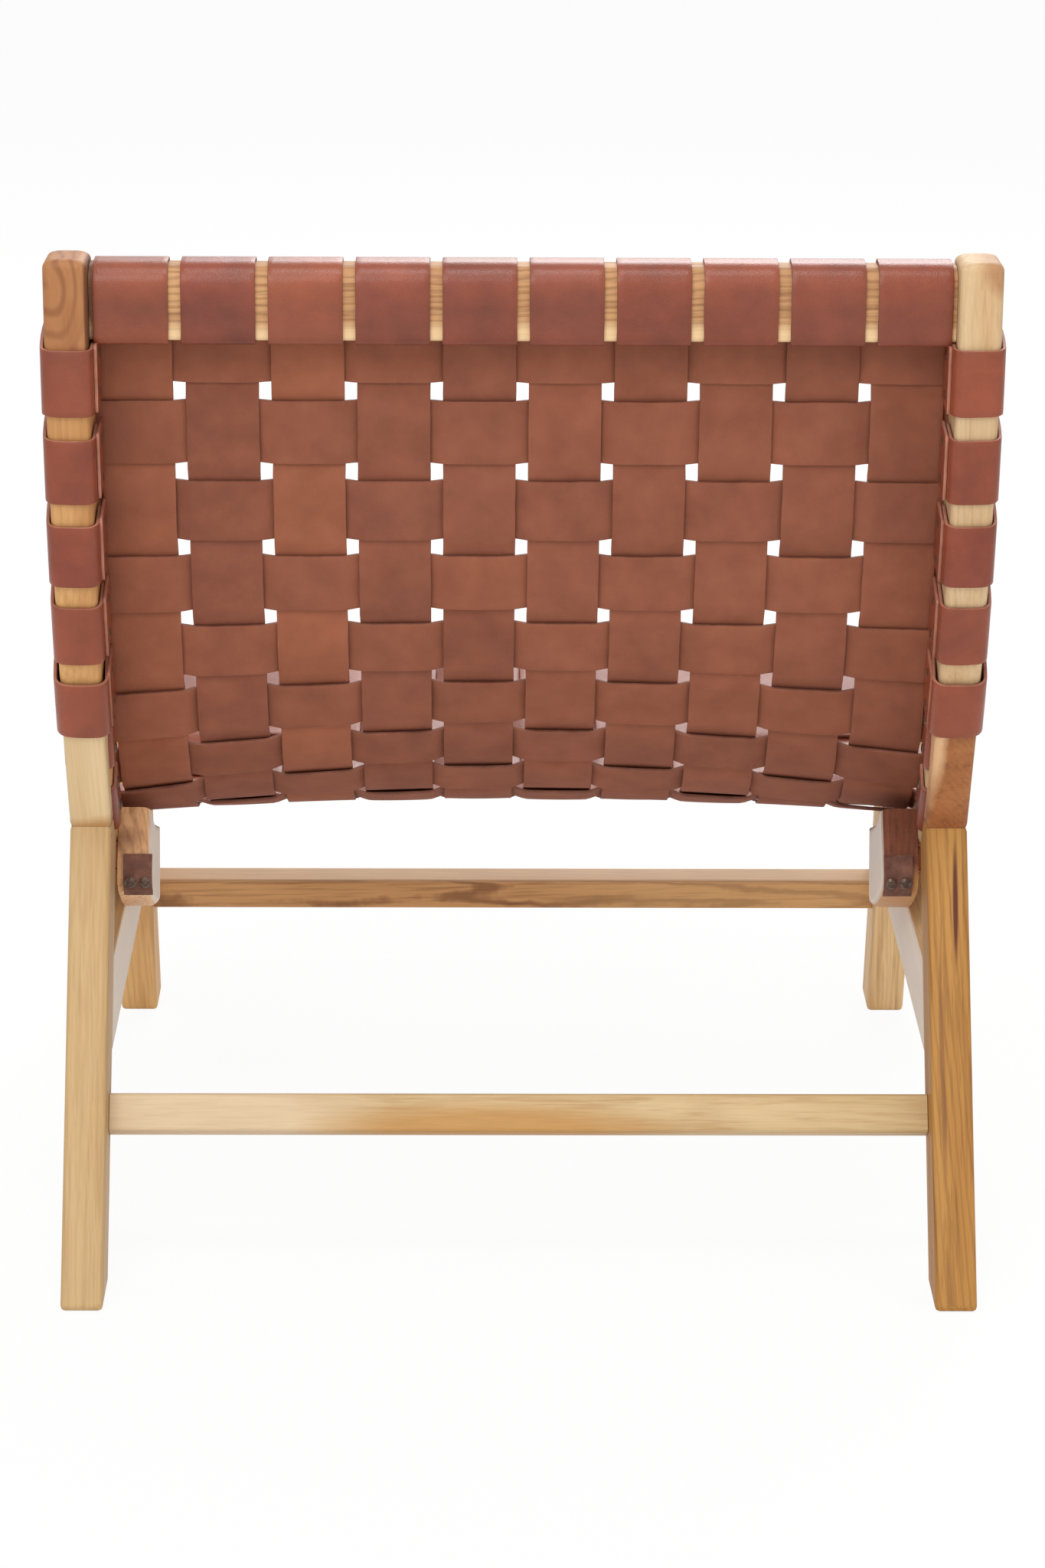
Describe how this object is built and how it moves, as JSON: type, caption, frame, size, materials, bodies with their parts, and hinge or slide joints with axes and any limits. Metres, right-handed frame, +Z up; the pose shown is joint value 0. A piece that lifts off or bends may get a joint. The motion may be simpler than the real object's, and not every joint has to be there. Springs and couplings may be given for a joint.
{
  "type": "woven strap lounge chair",
  "caption": "Low lounge chair with slanted wooden legs, curved side boards, and a seat and back woven in one sheet from flat leather straps.",
  "frame": {"origin": "on the floor, under the middle of the chair's bounding box", "axes": "+Z up, +Y the way the sitter faces, +X to the sitter's right-hand side"},
  "size_m": [0.6508, 0.6414, 0.7367],
  "materials": {
    "pale_wood": "satin oiled",
    "warm_wood": "satin oiled",
    "leather": "matte",
    "brass": "aged"
  },
  "bodies": {
    "root": {"left_side_board": "warm_wood", "left_leg_head": "warm_wood", "left_rear_leg": "pale_wood", "left_front_leg": "pale_wood", "left_side_rail": "warm_wood", "left_corner_block": "warm_wood", "left_strap_tab": "leather", "left_tab_nail_outer": "brass", "left_tab_nail_inner": "brass", "left_head_top_dowel": "pale_wood", "left_head_foot_dowel": "pale_wood", "left_front_leg_dowel": "pale_wood", "right_side_board": "warm_wood", "right_leg_head": "warm_wood", "right_rear_leg": "pale_wood", "right_front_leg": "pale_wood", "right_side_rail": "warm_wood", "right_corner_block": "warm_wood", "right_strap_tab": "leather", "right_tab_nail_outer": "brass", "right_tab_nail_inner": "brass", "right_head_top_dowel": "pale_wood", "right_head_foot_dowel": "pale_wood", "right_front_leg_dowel": "pale_wood", "top_rail": "warm_wood", "front_rail": "warm_wood", "rear_stretcher": "pale_wood", "front_stretcher": "warm_wood", "long_strap_1": "leather", "long_strap_2": "leather", "long_strap_3": "leather", "long_strap_4": "leather", "long_strap_5": "leather", "long_strap_6": "leather", "long_strap_7": "leather", "long_strap_8": "leather", "long_strap_9": "leather", "long_strap_10": "leather", "cross_strap_1": "leather", "cross_strap_2": "leather", "cross_strap_3": "leather", "cross_strap_4": "leather", "cross_strap_5": "leather", "cross_strap_6": "leather", "cross_strap_7": "leather", "cross_strap_8": "leather", "cross_strap_9": "leather", "cross_strap_10": "leather", "cross_strap_11": "leather", "cross_strap_12": "leather", "cross_strap_13": "leather"}
  },
  "joints": []
}
